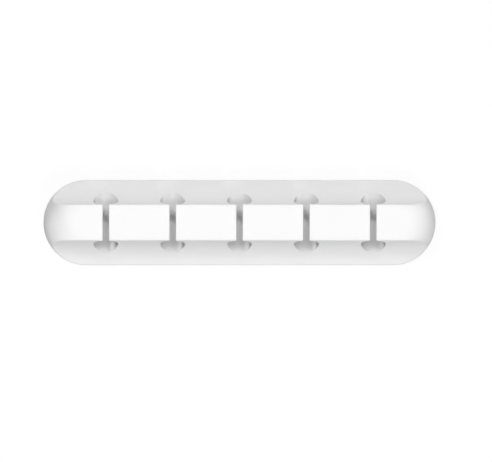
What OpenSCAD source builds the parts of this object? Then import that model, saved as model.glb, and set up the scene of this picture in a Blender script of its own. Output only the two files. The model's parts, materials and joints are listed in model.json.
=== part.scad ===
// Desk cable clip: a silicone bar with five keyhole channels, stuck down by a foam pad.
// The bar lies along X, the cables pass through along Y, and the pad's underside is at Z = 0.

/* [Clip body] */
// Width across the base
clip_width = 28; // [25:0.5:36]
// Height of the moulded body by itself
body_height = 13.5; // [12.5:0.5:20]
// Width of the top strip between its two creases
top_width = 12; // [8:0.5:16]
// Height of the upright rim round the base, below the flared sides
rim_height = 1; // [0.8:0.1:2.5]
// Radius of the concave flare of the two long sides
flare_radius = 16.3; // [14.5:0.1:40]
// Radius that rounds the noses and rolls the top strip off
nose_radius = 10.5; // [6:0.5:11]
// Rounding of the bottom edge
bottom_rounding = 0.5; // [0.2:0.1:0.7]

/* [Cable channels] */
// Number of channels
channel_count = 5; // [1:1:8]
// Distance from one channel to the next
channel_pitch = 22; // [14:0.5:30]
// Distance from the middle of the outer channel to the tip of the nose
nose_reach = 20.5; // [18.5:0.5:40]
// Diameter of the round channel that holds the cable
channel_diameter = 8; // [5:0.5:9]
// Thickness of the lips above the round channel
lip_thickness = 2; // [1.5:0.1:3]
// Width of the entry slot between the lips
slot_width = 2; // [1:0.1:4]

/* [Adhesive pad] */
// Thickness of the foam pad
pad_thickness = 1; // [0.8:0.1:2]
// Depth of the recess under the base that the pad sits in
recess_depth = 0.7; // [0.3:0.1:0.8]
// Width of the border between the recess and the outline of the base
recess_border = 1.5; // [1:0.1:4]
// Gap round the pad inside its recess
pad_clearance = 0.2; // [0.1:0.1:0.6]

/* [Hidden] */
$fn = 128;

clip_length = (channel_count - 1) * channel_pitch + 2 * nose_reach;
half_width = clip_width / 2;
straight_length = clip_length - clip_width;
body_lift = pad_thickness - recess_depth;
channel_height = body_height - lip_thickness - channel_diameter / 2;
recess_radius = half_width - recess_border;
pad_radius = recess_radius - pad_clearance;

// The flare arc runs from the crease of the top strip down to the top of the rim.
flare_top = [top_width / 2, body_height];
flare_foot = [half_width, rim_height];
flare_chord = flare_foot - flare_top;
flare_middle = (flare_top + flare_foot) / 2;
flare_outward = [-flare_chord[1], flare_chord[0]] / norm(flare_chord);
flare_offset = sqrt(pow(flare_radius, 2) - pow(norm(flare_chord) / 2, 2));
flare_centre = flare_middle + flare_offset * flare_outward;

// How far a cut runs past the surface that it opens
overcut = 1;

// Half of the section before the flares are cut: half_width out from the middle, body_height tall
module half_section() {
    difference() {
        square([half_width, body_height]);
        difference() {
            translate([half_width - nose_radius, body_height - nose_radius])
                square(nose_radius + overcut);
            translate([half_width - nose_radius, body_height - nose_radius])
                circle(nose_radius);
        }
        difference() {
            translate([half_width - bottom_rounding, -overcut])
                square([bottom_rounding + overcut, bottom_rounding + overcut]);
            translate([half_width - bottom_rounding, bottom_rounding])
                circle(bottom_rounding);
        }
    }
}

// The bar with half-round noses, before anything is cut out of it
module blank() {
    rotate([90, 0, 90])
        linear_extrude(straight_length, center = true)
            union() {
                half_section();
                mirror([1, 0])
                    half_section();
            }
    for (end = [0, 1])
        mirror([end, 0, 0])
            translate([straight_length / 2, 0, 0])
                rotate([0, 0, -90])
                    rotate_extrude(angle = 180)
                        half_section();
}

// The space that the concave side leaves free, along one long side
module flare_cut() {
    translate([0, flare_centre[0], flare_centre[1]])
        rotate([0, 90, 0])
            cylinder(h = clip_length + 2 * overcut, r = flare_radius, center = true);
}

// One keyhole: the round channel and the entry slot above it
module keyhole_cut() {
    translate([0, 0, channel_height])
        rotate([90, 0, 0])
            cylinder(h = clip_width + 2 * overcut, d = channel_diameter, center = true);
    translate([-slot_width / 2, -half_width - overcut, channel_height])
        cube([slot_width, clip_width + 2 * overcut, body_height - channel_height + overcut]);
}

// A flat bar with half-round ends, standing on Z = 0
module stadium(radius, height) {
    linear_extrude(height)
        union() {
            square([straight_length, 2 * radius], center = true);
            for (side = [-1, 1])
                translate([side * straight_length / 2, 0])
                    circle(radius);
        }
}

// The silicone moulding
module clip_body() {
    color("whitesmoke")
        translate([0, 0, body_lift])
            difference() {
                blank();
                flare_cut();
                mirror([0, 1, 0])
                    flare_cut();
                for (channel = [0 : channel_count - 1])
                    translate([(channel - (channel_count - 1) / 2) * channel_pitch, 0, 0])
                        keyhole_cut();
                translate([0, 0, -overcut])
                    stadium(recess_radius, recess_depth + overcut);
            }
}

// The die-cut foam pad, against the roof of its recess
module adhesive_pad() {
    color("gainsboro")
        stadium(pad_radius, pad_thickness);
}

clip_body();
adhesive_pad();
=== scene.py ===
# %% [markdown]
# # A silicone cable clip for a desk
# The object is a white silicone bar with rounded noses and five keyhole channels, stuck to a desk
# by a foam pad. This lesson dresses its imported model: it builds the moulding and the pad as fine
# meshes, gives both a surface, and lights them as a studio would for a catalogue page.
#
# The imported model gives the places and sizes, so it is loaded first. Its box is kept, because the
# finished meshes have to stay inside it.

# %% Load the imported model
import json
import math

import bpy
import numpy as np
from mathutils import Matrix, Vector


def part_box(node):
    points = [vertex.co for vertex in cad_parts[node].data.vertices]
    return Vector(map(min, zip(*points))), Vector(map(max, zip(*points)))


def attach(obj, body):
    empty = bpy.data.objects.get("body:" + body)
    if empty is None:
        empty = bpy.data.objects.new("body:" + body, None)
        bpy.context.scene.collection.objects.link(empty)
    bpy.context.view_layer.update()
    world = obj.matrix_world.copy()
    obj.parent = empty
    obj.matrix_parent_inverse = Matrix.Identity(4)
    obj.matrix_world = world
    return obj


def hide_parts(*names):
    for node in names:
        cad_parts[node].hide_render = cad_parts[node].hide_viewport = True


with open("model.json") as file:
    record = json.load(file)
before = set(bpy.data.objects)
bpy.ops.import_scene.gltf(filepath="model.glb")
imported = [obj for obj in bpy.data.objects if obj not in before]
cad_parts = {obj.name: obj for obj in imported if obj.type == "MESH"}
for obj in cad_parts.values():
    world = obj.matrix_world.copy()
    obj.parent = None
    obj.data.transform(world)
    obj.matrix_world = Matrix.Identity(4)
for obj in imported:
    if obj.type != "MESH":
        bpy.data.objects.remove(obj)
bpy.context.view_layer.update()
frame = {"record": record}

clip_low, clip_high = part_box("clip_body")
pad_low, pad_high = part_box("adhesive_pad")
print("clip body from", tuple(clip_low), "to", tuple(clip_high))

# %% [markdown]
# ## Sizes
# A designer thinks of this clip in millimetres, and Blender in metres. The shape is worked out in
# millimetres here, and only the finished vertices are turned into metres.
#
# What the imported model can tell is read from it: the outline from its box, the channels from its
# mounts. The rest are the sizes that a mould maker would have on the drawing.

# %% Sizes read from the model
MM = 0.001
HALF_LENGTH = clip_high.x / MM
HALF_WIDTH = clip_high.y / MM
HALF_STRAIGHT = HALF_LENGTH - HALF_WIDTH
BASE = clip_low.z / MM
BODY_HEIGHT = (clip_high.z - clip_low.z) / MM
PAD_HEIGHT = pad_high.z / MM
PAD_RADIUS = pad_high.y / MM
channels = [m for m in frame["record"]["mounts"] if m["kind"] == "clamp"]
CHANNEL_PLACES = sorted(m["pos_m"][0] / MM for m in channels)
CHANNEL_PITCH = CHANNEL_PLACES[1] - CHANNEL_PLACES[0]
CHANNEL_HEIGHT = channels[0]["pos_m"][2] / MM - BASE
CHANNEL_RADIUS = channels[0]["dims"]["r_mm"]
print(len(channels), "channels,", CHANNEL_PITCH, "mm apart,", CHANNEL_HEIGHT, "mm up")

# %% Sizes from the drawing
TOP_HALF_WIDTH = 6.0
RIM_HEIGHT = 1.0
FLARE_RADIUS = 12.8
NOSE_RADIUS = 10.5
SLOT_HALF_WIDTH = 1.0
BOTTOM_ROUNDING = 0.5
RECESS_DEPTH = PAD_HEIGHT - BASE
RECESS_RADIUS = PAD_RADIUS + 0.2
CREASE_ROUNDING = 0.35
LIP_ROUNDING = 0.3
SLOT_EDGE_ROUNDING = 0.14
PARTING_ROUNDING = 0.01
ROUNDED_TO = 1.2
CRISP_FROM = 3.0

# %% [markdown]
# ## The flare
# Each long side is a piece of one large cylinder that lies along the bar. It has to pass through
# the crease at the top and through the top of the rim, and its radius is known, so its centre
# follows: start halfway between the two points and step outwards, square to the line between them.
#
# The radius shows in the photograph as the place where each mouth is widest, since the flare cuts
# the channel there at its middle height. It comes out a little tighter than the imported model's, so
# the flare lies up to 0.6 mm inside the solid one and nowhere outside it.

# %% Centre of the flare
crease = np.array([TOP_HALF_WIDTH, BODY_HEIGHT])
rim_top = np.array([HALF_WIDTH, RIM_HEIGHT])
chord = rim_top - crease
chord_length = np.hypot(chord[0], chord[1])
outward = np.array([-chord[1], chord[0]]) / chord_length
step_out = math.sqrt(FLARE_RADIUS ** 2 - (chord_length / 2) ** 2)
FLARE_ACROSS, FLARE_UP = (crease + rim_top) / 2 + outward * step_out
print("flare centre", round(FLARE_ACROSS, 2), "mm across and", round(FLARE_UP, 2), "mm up")

# %% [markdown]
# ## The moulding as a distance
# Silicone comes out of its mould with every edge slightly rounded, also where the flare cuts
# through a round channel, and there a bevel modifier leaves torn corners. It could be sculpted
# after a voxel remesh, but that rounds everything alike and moves the flat faces.
#
# A distance function keeps both: it is below zero inside the material and above zero outside, and
# cutting one shape by another is the larger of two distances. Near the edge between them the larger
# is blended along a quarter circle, so each edge gets its own radius.
#
# The mouths of the channels stay crisp. There the core pins pass out through the side of the mould,
# so the silicone parts along that line, and the same goes for the edge of the recess below.

# %% Corners and rounded edges
def round_corner(across, up, radius):
    past_both = np.hypot(np.maximum(across, 0), np.maximum(up, 0))
    return past_both + np.minimum(np.maximum(across, up), 0) - radius


def rounded_overlap(first, second, radius):
    bend = np.hypot(np.maximum(first + radius, 0), np.maximum(second + radius, 0))
    return np.minimum(np.maximum(first, second), -radius) + bend


print("a right-angled edge, on its corner:", rounded_overlap(0.0, 0.0, 1.0).round(3))

# %% Distance to the moulding's surface
def from_spine(x, y):
    return np.hypot(np.maximum(np.abs(x) - HALF_STRAIGHT, 0), y)


def blank_distance(x, y, up):
    spine = from_spine(x, y)
    top = round_corner(spine - HALF_WIDTH + NOSE_RADIUS, up - BODY_HEIGHT + NOSE_RADIUS, NOSE_RADIUS)
    foot = round_corner(spine - HALF_WIDTH + BOTTOM_ROUNDING, BOTTOM_ROUNDING - up, BOTTOM_ROUNDING)
    return np.maximum(top, foot)


def from_channel(x):
    last = (len(channels) - 1) / 2
    return np.abs(x - CHANNEL_PITCH * np.clip(np.round(x / CHANNEL_PITCH), -last, last))


def keyhole_distance(x, up):
    across = from_channel(x)
    channel = CHANNEL_RADIUS - np.hypot(across, up - CHANNEL_HEIGHT)
    slot = np.minimum(SLOT_HALF_WIDTH - across, up - CHANNEL_HEIGHT)
    return rounded_overlap(channel, slot, LIP_ROUNDING)


def moulding_distance(x, y, z, softest=PARTING_ROUNDING):
    up = z - BASE
    flare = FLARE_RADIUS - np.hypot(np.abs(y) - FLARE_ACROSS, up - FLARE_UP)
    recess = np.minimum(RECESS_RADIUS - from_spine(x, y), RECESS_DEPTH - up)
    bar = rounded_overlap(blank_distance(x, y, up), flare, CREASE_ROUNDING)
    roundings = [SLOT_EDGE_ROUNDING, PARTING_ROUNDING]
    edge = np.maximum(np.interp(from_channel(x), [ROUNDED_TO, CRISP_FROM], roundings), softest)
    slotted = rounded_overlap(bar, keyhole_distance(x, up), edge)
    return rounded_overlap(slotted, recess, softest)


print("inside the material:", moulding_distance(11.0, 0.0, 5.0).round(2), "mm")

# %% [markdown]
# ## From distance to mesh
# The distance is sampled on a grid of boxes. A box whose corners lie on both sides of the surface
# gets one vertex, and each grid edge that passes through the surface gets one face between the four
# boxes round it. That gives an even mesh, where marching cubes gives slivers.
#
# Where a box's vertex goes decides how clean the edges are. At each grid edge of the box the point
# on the surface and the slope there make a small plane, and the vertex goes where those planes
# meet best. On a crisp edge that is the edge itself. This is called dual contouring.
#
# The grid lines stand closer together at the slots, the creases and the rim, so the small radii get
# several faces and the plain stretches few.

# %% Grid lines
FINE = 0.2
COARSE = 0.62
GROWTH = 0.16
MARGIN = 0.7


def graded_lines(end, places, reach):
    lines = [0.0]
    while lines[-1] < end:
        away = max(min(abs(lines[-1] - p) for p in places) - reach, 0)
        lines.append(lines[-1] + min(FINE + GROWTH * away, COARSE))
    return np.array(lines)


slot_edges = [p + s * SLOT_HALF_WIDTH for p in CHANNEL_PLACES for s in (-1, 1)]
half_x = graded_lines(HALF_LENGTH + MARGIN, slot_edges + [HALF_LENGTH], 0.5)
half_y = graded_lines(HALF_WIDTH + MARGIN, [TOP_HALF_WIDTH, HALF_WIDTH - 1], 0.6)
grid_x = np.concatenate([-half_x[:0:-1], half_x])
grid_y = np.concatenate([-half_y[:0:-1], half_y])
grid_z = graded_lines(BODY_HEIGHT + 2 * MARGIN, [RIM_HEIGHT, BODY_HEIGHT], 0.5) - MARGIN / 2
print("grid of", len(grid_x), "x", len(grid_y), "x", len(grid_z), "lines")

# %% Dual contouring
RING = ((0, 0), (1, 0), (1, 1), (0, 1))
HALVINGS = 12
SLOPE_STEP = 1e-3
PULL_TO_MIDDLE = 0.01
LEEWAY = 0.5


def slope(points, distance):
    steps = np.eye(3) * SLOPE_STEP
    rises = [distance(*(points + s).T) - distance(*(points - s).T) for s in steps]
    return np.stack(rises, axis=1) / (2 * SLOPE_STEP)


def crossings(lines, start, axis, distance):
    inner = np.stack([lines[a][start[:, a]] for a in range(3)], axis=1)
    outer = inner.copy()
    outer[:, axis] = lines[axis][start[:, axis] + 1]
    leaving = distance(*inner.T) < 0
    inner[~leaving], outer[~leaving] = outer[~leaving], inner[~leaving].copy()
    for _ in range(HALVINGS):
        middle = (inner + outer) / 2
        inside = distance(*middle.T) < 0
        inner[inside] = middle[inside]
        outer[~inside] = middle[~inside]
    return (inner + outer) / 2, leaving


def meeting_points(index, points, planes, count):
    def total(values):
        return np.bincount(index, weights=values, minlength=count)

    share = total(np.ones(len(index)))[:, None]
    middle = np.stack([total(points[:, a]) for a in range(3)], axis=1) / share
    height = (planes * (points - middle[index])).sum(axis=1)
    pulls = np.stack([total(planes[:, a] * height) for a in range(3)], axis=1)
    squares = np.array([[total(planes[:, a] * planes[:, b]) for a in range(3)] for b in range(3)])
    squares = squares.transpose(2, 0, 1) + PULL_TO_MIDDLE * np.eye(3)
    return middle + np.linalg.solve(squares, pulls[:, :, None])[:, :, 0]


def dual_contour(lines, distance):
    inside = distance(*np.meshgrid(*lines, indexing="ij")) < 0
    boxes, points, planes = [], [], []
    for axis in range(3):
        start = np.argwhere(np.diff(inside, axis=axis))
        point, leaving = crossings(lines, start, axis, distance)
        ring = np.repeat(start[:, None, :], len(RING), axis=1)
        for corner, (one, two) in enumerate(RING):
            ring[:, corner, (axis + 1) % 3] -= one
            ring[:, corner, (axis + 2) % 3] -= two
        ring[~leaving] = ring[~leaving][:, ::-1]
        boxes.append(np.ravel_multi_index(tuple(ring.transpose(2, 0, 1)), inside.shape))
        points.append(np.repeat(point, len(RING), axis=0))
        planes.append(np.repeat(slope(point, distance), len(RING), axis=0))
    used, index = np.unique(np.concatenate(boxes), return_inverse=True)
    index = index.ravel()
    vertices = meeting_points(index, np.concatenate(points), np.concatenate(planes), len(used))
    corner = np.unravel_index(used, inside.shape)
    for axis in range(3):
        low, high = lines[axis][corner[axis]], lines[axis][corner[axis] + 1]
        spare = LEEWAY * (high - low)
        vertices[:, axis] = np.clip(vertices[:, axis], low - spare, high + spare)
    return vertices, index.reshape(-1, len(RING))


vertices, faces = dual_contour([grid_x, grid_y, grid_z], moulding_distance)
print(len(vertices), "vertices and", len(faces), "faces")

# %% [markdown]
# The vertices now lie very near the surface. Each is slid along the slope of the distance until the
# distance is zero. A four-sided face that bends over a crisp edge has to fold along that edge, so
# every face is cut in two along the diagonal whose middle lies nearer the surface.

# %% Slide onto the surface and cut the faces
SLIDES = 3

for _ in range(SLIDES):
    gradient = slope(vertices, moulding_distance)
    steepness = np.maximum((gradient ** 2).sum(axis=1), 0.1)
    off = moulding_distance(*vertices.T)
    vertices -= gradient * (off / steepness)[:, None]


def diagonal_error(one, other):
    middle = (vertices[faces[:, one]] + vertices[faces[:, other]]) / 2
    return np.abs(moulding_distance(*middle.T))


straight = diagonal_error(0, 2) <= diagonal_error(1, 3)
triangles = np.concatenate([
    faces[straight][:, [0, 1, 2]], faces[straight][:, [0, 2, 3]],
    faces[~straight][:, [0, 1, 3]], faces[~straight][:, [1, 2, 3]]])
print("furthest vertex from the surface:", np.abs(moulding_distance(*vertices.T)).max().round(4), "mm")
print(len(triangles), "triangles")

# %% [markdown]
# The slope of the distance is also the true normal of the silicone, and with true normals the
# highlights run smoothly, whatever the faces look like. On a crisp edge there are two of them, one
# for each side. So each corner of a triangle also asks for the slope a little way towards the
# triangle's middle, and takes that one where the two differ by more than a soft edge would.

# %% Normals for each corner
SHADING_ROUNDING = 0.2
TOWARDS_MIDDLE = 0.3
CRISP_ANGLE = math.radians(20)
LEAST_AGREEMENT = 0.3


def softer_distance(x, y, z):
    return moulding_distance(x, y, z, SHADING_ROUNDING)


def unit(directions):
    return directions / np.linalg.norm(directions, axis=1)[:, None]


corners = vertices[triangles]
pulled = corners + TOWARDS_MIDDLE * (corners.mean(axis=1)[:, None] - corners)
own_side = unit(slope(pulled.reshape(-1, 3), moulding_distance))
shared = unit(slope(vertices, softer_distance))[triangles].reshape(-1, 3)
crisp = (own_side * shared).sum(axis=1) < math.cos(CRISP_ANGLE)
corner_normals = np.where(crisp[:, None], own_side, shared)
sides = np.diff(corners, axis=1)
flat = unit(np.cross(sides[:, 0], sides[:, 1]) + 1e-12)
flat = np.repeat(flat, 3, axis=0)
turned_away = (corner_normals * flat).sum(axis=1) < LEAST_AGREEMENT
corner_normals = np.where(turned_away[:, None], flat, corner_normals)
print("crisp corners:", crisp.sum(), "of", len(crisp))

# %% [markdown]
# ## The moulding as an object
# The mesh rides on the clip's one body, and the plain solid that it replaces is hidden.

# %% Make the moulding
def make_piece(name, points, polygons):
    mesh = bpy.data.meshes.new(name)
    mesh.from_pydata((points * MM).tolist(), [], polygons.tolist())
    mesh.shade_smooth()
    piece = bpy.data.objects.new(name, mesh)
    bpy.context.scene.collection.objects.link(piece)
    return piece


moulding = make_piece("clip_moulding", vertices, triangles)
moulding.data.normals_split_custom_set(corner_normals.tolist())
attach(moulding, "root")
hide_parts("clip_body")
print("moulding:", tuple((moulding.dimensions / MM)[i] for i in range(3)), "mm")

# %% [markdown]
# ## The foam pad
# The pad is stamped out of a sheet of white foam with glue on both faces. The knife squeezes the
# foam as it goes through, so the cut edge springs back a little rounded, hollow in the middle. The
# pad is one outline, a bar with round ends, repeated on a few levels up the edge and closed by a
# face at the bottom and one at the top.

# %% Make the pad
PAD_EDGE_POINTS = 48
PAD_EDGE_ROUNDING = 0.12
PAD_EDGE_HOLLOW = 0.06
PAD_LEVELS = 13


def pad_outline(inset):
    turns = np.linspace(-math.pi / 2, math.pi / 2, PAD_EDGE_POINTS)
    radius = PAD_RADIUS - inset
    right = np.stack([HALF_STRAIGHT + radius * np.cos(turns), radius * np.sin(turns)], axis=1)
    return np.concatenate([right, -right])


def pad_inset(level):
    near_face = max(abs(2 * level - 1) * PAD_HEIGHT / 2 - PAD_HEIGHT / 2 + PAD_EDGE_ROUNDING, 0)
    rounding = PAD_EDGE_ROUNDING - math.sqrt(max(PAD_EDGE_ROUNDING ** 2 - near_face ** 2, 0))
    return rounding + PAD_EDGE_HOLLOW * math.sin(math.pi * level) ** 2


levels = (1 - np.cos(np.linspace(0, math.pi, PAD_LEVELS))) / 2
rings = [pad_outline(pad_inset(level)) for level in levels]
ring_size = 2 * PAD_EDGE_POINTS
pad_points = np.concatenate([
    np.column_stack([ring, np.full(ring_size, level * PAD_HEIGHT)])
    for ring, level in zip(rings, levels)])
pad_faces = [list(range(ring_size))[::-1]]
for low in range(PAD_LEVELS - 1):
    for here in range(ring_size):
        following = (here + 1) % ring_size
        start, above = low * ring_size, (low + 1) * ring_size
        pad_faces.append([start + here, start + following, above + following, above + here])
pad_faces.append([(PAD_LEVELS - 1) * ring_size + i for i in range(ring_size)])
print("pad with", len(pad_points), "vertices")

# %% Place the pad
pad_mesh = bpy.data.meshes.new("foam_pad")
pad_mesh.from_pydata((pad_points * MM).tolist(), [], pad_faces)
pad_mesh.shade_smooth()
pad_mesh.polygons[0].use_smooth = False
pad_mesh.polygons[-1].use_smooth = False
pad = bpy.data.objects.new("foam_pad", pad_mesh)
bpy.context.scene.collection.objects.link(pad)
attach(pad, "root")
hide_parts("adhesive_pad")
print("pad:", tuple((pad.dimensions / MM)[i] for i in range(3)), "mm")

# %% [markdown]
# ## Shader maths
# A surface is described by sums and products of patterns. Wrapping a node's output in a small class
# lets those be written as plain expressions, and each operator adds the Math node that it stands
# for. Every other node comes from the one method, which takes the node's type, its settings and
# what goes into its sockets.

# %% The wrapped socket
class Wire:
    def __init__(self, tree, socket=None):
        self.tree = tree
        self.socket = socket

    def node(self, kind, settings, sockets, output=0):
        node = self.tree.nodes.new(kind)
        for name, value in settings.items():
            setattr(node, name, value)
        for name, value in sockets.items():
            if isinstance(value, Wire):
                self.tree.links.new(value.socket, node.inputs[name])
            else:
                node.inputs[name].default_value = value
        return Wire(self.tree, node.outputs[output] if node.outputs else None)

    def maths(self, operation, first, second):
        return self.node("ShaderNodeMath", {"operation": operation}, {0: first, 1: second})

    def __add__(self, other):
        return self.maths("ADD", self, other)

    def __radd__(self, other):
        return self.maths("ADD", other, self)

    def __sub__(self, other):
        return self.maths("SUBTRACT", self, other)

    def __rsub__(self, other):
        return self.maths("SUBTRACT", other, self)

    def __mul__(self, other):
        return self.maths("MULTIPLY", self, other)

    def __rmul__(self, other):
        return self.maths("MULTIPLY", other, self)


def new_surface(name):
    material = bpy.data.materials.new(name)
    material.use_nodes = True
    material.node_tree.nodes.clear()
    return material, Wire(material.node_tree)


def pattern(wire, place, scale_mm, detail):
    sockets = {"Vector": place, "Scale": 1 / (scale_mm * MM), "Detail": detail}
    return wire.node("ShaderNodeTexNoise", {}, sockets)


print("the wrapper is ready")

# %% [markdown]
# ## Silicone
# White silicone is milky: light enters it, spreads a millimetre or so and comes out again, which
# softens the shading on the noses. Its skin copies the mould, which was blasted to a fine matt
# grain, and where the silicone flowed longest the skin is a touch smoother. The colour itself
# hardly varies: the pigment clouds by a percent or so.
#
# Deep in the channels and slots the colour is painted a step greyer. This is painted shade: the lamps
# alone leave those hollows lighter than they should look. It could be a second material, but then the
# edge would follow the faces. The distance from the channel's axis gives a clean edge instead, and
# the painted shade fades out towards the open ends.

# %% Silicone surface
SILICONE_PALE = (0.82, 0.82, 0.82, 1)
SILICONE_DEEP = (0.80, 0.80, 0.80, 1)
# Painted shade: the grey colour given deep in the channels and slots.
SILICONE_PAINTED_SHADE = (0.62, 0.62, 0.62, 1)
SILICONE_ROUGHNESS = 0.52
# Where the painted shade is full and where it ends past the channel and slot walls, and where it fades
# out towards the open ends.
PAINTED_SHADE_FULL_MM = 0.05
PAINTED_SHADE_NONE_MM = 0.3
PAINTED_SHADE_FADE_START_MM = 6.0
PAINTED_SHADE_FADE_END_MM = 9.0
CLOUD_MM = 14
GRAIN_MM = 0.22
WAVE_MM = 5


def fade_out(wire, value, start_mm, end_mm):
    return wire.node("ShaderNodeMapRange", {"interpolation_type": "SMOOTHSTEP"}, {
        "Value": value, "From Min": start_mm * MM, "From Max": end_mm * MM,
        "To Min": 1, "To Max": 0})


# Share of painted shade: 1 deep in the channels and slots, fading to 0 towards their open ends.
def painted_shade_share(wire, place):
    x = wire.node("ShaderNodeSeparateXYZ", {}, {"Vector": place}, "X")
    z = wire.node("ShaderNodeSeparateXYZ", {}, {"Vector": place}, "Z")
    nearest = wire.maths("SNAP", x + CHANNEL_PITCH / 2 * MM, CHANNEL_PITCH * MM)
    nearest = wire.maths("MAXIMUM", nearest, CHANNEL_PLACES[0] * MM)
    nearest = wire.maths("MINIMUM", nearest, CHANNEL_PLACES[-1] * MM)
    across = x - nearest
    up = z - (BASE + CHANNEL_HEIGHT) * MM
    from_axis = wire.maths("SQRT", across * across + up * up, 0)
    past_channel = from_axis - CHANNEL_RADIUS * MM
    past_slot = wire.maths("ABSOLUTE", across, 0) - SLOT_HALF_WIDTH * MM
    channel = fade_out(wire, past_channel, PAINTED_SHADE_FULL_MM, PAINTED_SHADE_NONE_MM)
    slot = fade_out(wire, past_slot, PAINTED_SHADE_FULL_MM, PAINTED_SHADE_NONE_MM)
    keyhole = wire.maths("MAXIMUM", channel, slot * wire.maths("GREATER_THAN", up, 0))
    y = wire.node("ShaderNodeSeparateXYZ", {}, {"Vector": place}, "Y")
    outward = wire.maths("ABSOLUTE", y, 0)
    return keyhole * fade_out(wire, outward, PAINTED_SHADE_FADE_START_MM, PAINTED_SHADE_FADE_END_MM)


def silicone_surface():
    material, wire = new_surface("white_silicone")
    place = wire.node("ShaderNodeTexCoord", {}, {}, "Object")
    cloud = pattern(wire, place, CLOUD_MM, 2)
    grain = pattern(wire, place, GRAIN_MM, 3)
    wave = pattern(wire, place, WAVE_MM, 1)
    colour = wire.node(
        "ShaderNodeMix", {"data_type": "RGBA"}, {0: cloud, 6: SILICONE_PALE, 7: SILICONE_DEEP}, 2)
    # Painted shade: the channels and slots are greyed towards the shade colour.
    painted_shade = painted_shade_share(wire, place)
    colour = wire.node(
        "ShaderNodeMix", {"data_type": "RGBA"}, {0: painted_shade, 6: colour, 7: SILICONE_PAINTED_SHADE}, 2)
    roughness = SILICONE_ROUGHNESS + 0.12 * wave + 0.08 * grain
    relief = wire.node(
        "ShaderNodeBump", {}, {"Strength": 0.25, "Distance": 0.02 * MM, "Height": grain})
    shader = wire.node("ShaderNodeBsdfPrincipled", {}, {
        "Base Color": colour, "Roughness": roughness, "Normal": relief, "IOR": 1.41,
        "Specular IOR Level": 0.35, "Subsurface Weight": 0.1,
        "Subsurface Radius": (1.0, 0.95, 0.9), "Subsurface Scale": 0.5 * MM})
    wire.node("ShaderNodeOutputMaterial", {}, {"Surface": shader})
    return material


moulding.data.materials.append(silicone_surface())
print("silicone on", moulding.name)

# %% [markdown]
# ## Foam
# The pad is closed-cell foam, so its cut edge shows a fine bubbly grain, and the two faces carry a
# thin film of clear glue, which shines in patches where it lies thicker.

# %% Foam surface
FOAM_LIGHT = (0.8, 0.8, 0.78, 1)
FOAM_SHADE = (0.68, 0.68, 0.66, 1)
BUBBLE_MM = 0.16
GLUE_PATCH_MM = 3


def foam_surface():
    material, wire = new_surface("white_foam")
    place = wire.node("ShaderNodeTexCoord", {}, {}, "Object")
    bubbles = wire.node(
        "ShaderNodeTexVoronoi", {}, {"Vector": place, "Scale": 1 / (BUBBLE_MM * MM)}, "Distance")
    patches = pattern(wire, place, GLUE_PATCH_MM, 3)
    colour = wire.node(
        "ShaderNodeMix", {"data_type": "RGBA"}, {0: bubbles, 6: FOAM_LIGHT, 7: FOAM_SHADE}, 2)
    relief = wire.node(
        "ShaderNodeBump", {}, {"Strength": 0.5, "Distance": 0.04 * MM, "Height": bubbles})
    shader = wire.node("ShaderNodeBsdfPrincipled", {}, {
        "Base Color": colour, "Roughness": 0.75 - 0.2 * patches, "Normal": relief,
        "Coat Weight": 0.5 * patches, "Coat Roughness": 0.25})
    wire.node("ShaderNodeOutputMaterial", {}, {"Surface": shader})
    return material


pad.data.materials.append(foam_surface())
print("foam on", pad.name)

# %% [markdown]
# ## Floor and background
# The clip lies on a plain white floor. To the camera the floor is mostly white by itself, with a
# share that takes the light, so the clip's own shadow stays on it, faintly. To the clip, the floor
# is a grey one that throws less than a third of its light back up, which lifts the steep upper part
# of the flares. It lies a hair below the pad, so that the two never fill the same plane.

# %% Floor and world
FLOOR_HALF = 1.5
FLOOR_DROP_MM = 0.02
FLOOR_SEEN = (0.94, 0.94, 0.94, 1)
FLOOR_FELT = (0.29, 0.29, 0.29, 1)
FLOOR_WHITE_SHARE = 0.92
AMBIENT = 0.06


def seen_directly(wire):
    camera = wire.node("ShaderNodeLightPath", {}, {}, "Is Camera Ray")
    glossy = wire.node("ShaderNodeLightPath", {}, {}, "Is Glossy Ray")
    through = wire.node("ShaderNodeLightPath", {}, {}, "Is Transmission Ray")
    either = wire.maths("MAXIMUM", camera, glossy)
    return wire.maths("MAXIMUM", either, through)


def floor_surface():
    material, wire = new_surface("studio_floor")
    seen = seen_directly(wire)
    colour = wire.node(
        "ShaderNodeMix", {"data_type": "RGBA"}, {0: seen, 6: FLOOR_FELT, 7: FLOOR_SEEN}, 2)
    lit = wire.node("ShaderNodeBsdfDiffuse", {}, {"Color": colour})
    white = wire.node("ShaderNodeEmission", {}, {"Color": (1, 1, 1, 1), "Strength": 1})
    shader = wire.node("ShaderNodeMixShader", {}, {0: seen * FLOOR_WHITE_SHARE, 1: lit, 2: white})
    wire.node("ShaderNodeOutputMaterial", {}, {"Surface": shader})
    return material


floor_corners = np.array([[-1, -1, 0], [1, -1, 0], [1, 1, 0], [-1, 1, 0]]) * FLOOR_HALF / MM
floor_corners[:, 2] = -FLOOR_DROP_MM
floor = make_piece("studio_floor", floor_corners, np.array([[0, 1, 2, 3]]))
floor.data.materials.append(floor_surface())

world = bpy.data.worlds.new("studio")
world.use_nodes = True
world.node_tree.nodes.clear()
sky = Wire(world.node_tree)
sky_strength = AMBIENT + seen_directly(sky) * (1 - AMBIENT)
sky_light = sky.node("ShaderNodeBackground", {}, {"Color": (1, 1, 1, 1), "Strength": sky_strength})
sky.node("ShaderNodeOutputWorld", {}, {"Surface": sky_light})
bpy.context.scene.world = world
print("floor and sky")

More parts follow.
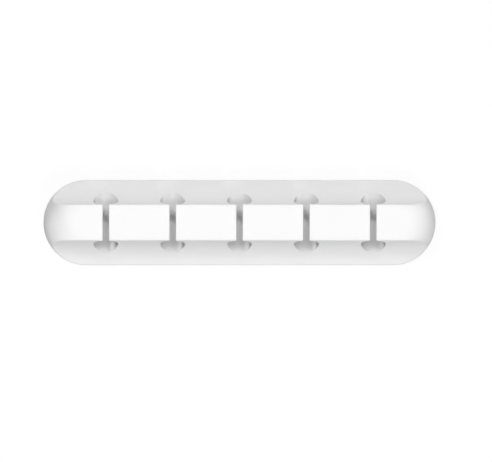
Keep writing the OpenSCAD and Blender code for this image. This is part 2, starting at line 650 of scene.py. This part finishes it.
# %% [markdown]
# ## Lamps
# The photograph's own shading says where its light came from. Each slot has a dark dash above its
# middle that slants down to the right: below the dash the floor of the channel is lit from the
# front, a little to the right, and above it from the back, so the lamps there are small enough to
# cast an edge. Three wide lamps fill the rest: one in front for the lower flare, one at the back
# left for the upper flare, and a low one at the back right, which also makes the right nose paler
# than the left one.
#
# Each lamp is given by where it stands on a dome round the clip and by its brightness, which is the
# share of full white that it alone would give a white card turned towards it.

# %% Lamps
DOME_RADIUS = 1.2
SMALL_LAMP = 0.15
WIDE_LAMP = 0.35


def dome_lamp(name, elevation, azimuth, size, brightness):
    up, around = math.radians(elevation), math.radians(azimuth)
    light = bpy.data.lights.new(name, "AREA")
    light.shape = "SQUARE"
    light.size = size
    light.energy = brightness * math.pi ** 2 * DOME_RADIUS ** 2
    lamp = bpy.data.objects.new(name, light)
    lamp.location = (
        DOME_RADIUS * math.cos(up) * math.cos(around),
        DOME_RADIUS * math.cos(up) * math.sin(around),
        DOME_RADIUS * math.sin(up))
    lamp.rotation_mode = "QUATERNION"
    lamp.rotation_quaternion = lamp.location.to_track_quat("Z", "Y")
    bpy.context.scene.collection.objects.link(lamp)
    print(name, "of", round(light.energy, 2), "W")


dome_lamp("front_high_lamp", 45, 290, SMALL_LAMP, 0.405)
dome_lamp("front_wide_lamp", 45, 270, WIDE_LAMP, 0.272)
dome_lamp("back_high_lamp", 68, 140, SMALL_LAMP, 0.225)
dome_lamp("back_low_lamp", 60, 125, SMALL_LAMP, 0.173)
dome_lamp("back_left_lamp", 45, 135, WIDE_LAMP, 0.225)
dome_lamp("back_right_lamp", 20, 45, WIDE_LAMP, 0.4)

# %% [markdown]
# ## Camera
# The photograph looks straight down and shows no perspective at all: the channels are spaced alike
# at the top and lower down the sides. So the camera is an orthographic one, and its width comes
# from how many of the photograph's pixels the bar is long.

# %% Camera
PHOTO_WIDTH_PX = 492
PHOTO_HEIGHT_PX = 462
CLIP_LEFT_PX = 43.5
CLIP_RIGHT_PX = 435.5
CLIP_TOP_PX = 180.0
CLIP_BOTTOM_PX = 265.0
CAMERA_HEIGHT = 0.4

metres_per_px = 2 * HALF_LENGTH * MM / (CLIP_RIGHT_PX - CLIP_LEFT_PX)
right_of_clip = (PHOTO_WIDTH_PX - CLIP_LEFT_PX - CLIP_RIGHT_PX) / 2 * metres_per_px
below_clip = (PHOTO_HEIGHT_PX - CLIP_TOP_PX - CLIP_BOTTOM_PX) / 2 * metres_per_px
lens = bpy.data.cameras.new("catalogue_camera")
lens.type = "ORTHO"
lens.ortho_scale = PHOTO_WIDTH_PX * metres_per_px
camera = bpy.data.objects.new("catalogue_camera", lens)
camera.location = (right_of_clip, -below_clip, CAMERA_HEIGHT)
bpy.context.scene.collection.objects.link(camera)
bpy.context.scene.camera = camera
bpy.context.scene.view_settings.view_transform = "Standard"
print("frame", round(lens.ortho_scale / MM, 1), "mm wide")
